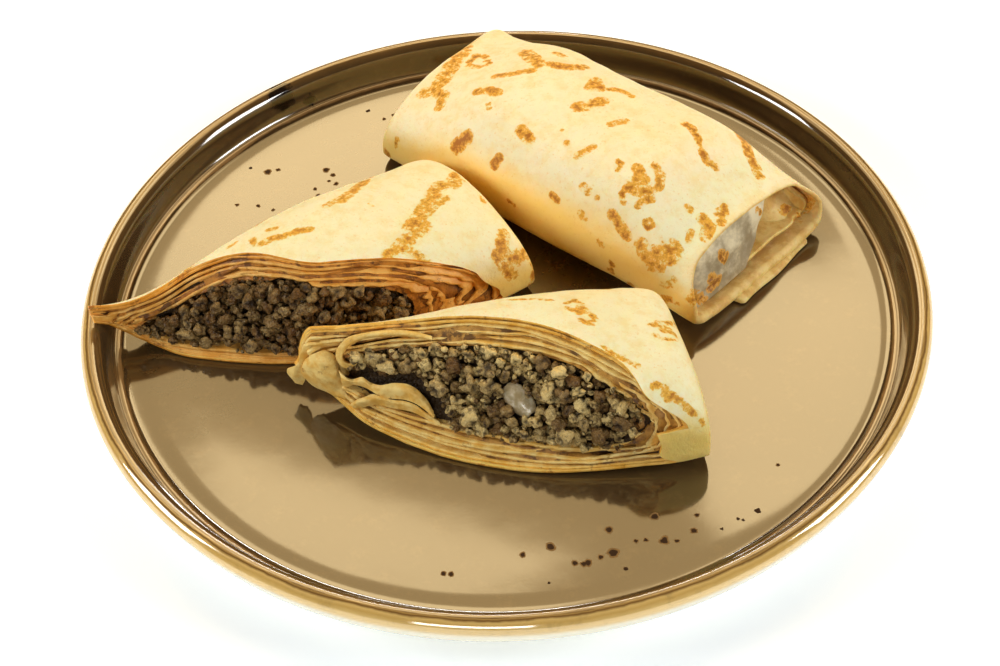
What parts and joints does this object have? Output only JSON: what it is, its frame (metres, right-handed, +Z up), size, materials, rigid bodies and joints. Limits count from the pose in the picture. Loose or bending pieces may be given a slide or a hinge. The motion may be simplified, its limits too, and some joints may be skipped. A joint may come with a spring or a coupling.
{
  "type": "folded crepe with minced filling on a plate",
  "caption": "Folded crepes with a minced filling on a round glazed plate: one left whole, one cut corner to corner into two halves.",
  "frame": {"origin": "centre of the plate's foot, on the table", "axes": "+Z up; -Y towards the side that the cut faces look to; +X to the right of it"},
  "size_m": [0.27, 0.27, 0.0466],
  "materials": {
    "glazed_stoneware": "reactive glaze, taupe floor, golden-brown lip, fine dark speckle",
    "crepe": "thin fried pancake, cream with golden lacy spots",
    "mince": "moist fried mince, grey-brown",
    "onion": "soft cooked onion, translucent"
  },
  "bodies": {
    "root": {"plate": "glazed_stoneware", "whole_crepe": "crepe", "left_half_wrap": "crepe", "left_half_filling": "mince", "front_half_wrap": "crepe", "front_half_filling": "mince", "onion_piece": "onion"}
  },
  "joints": []
}
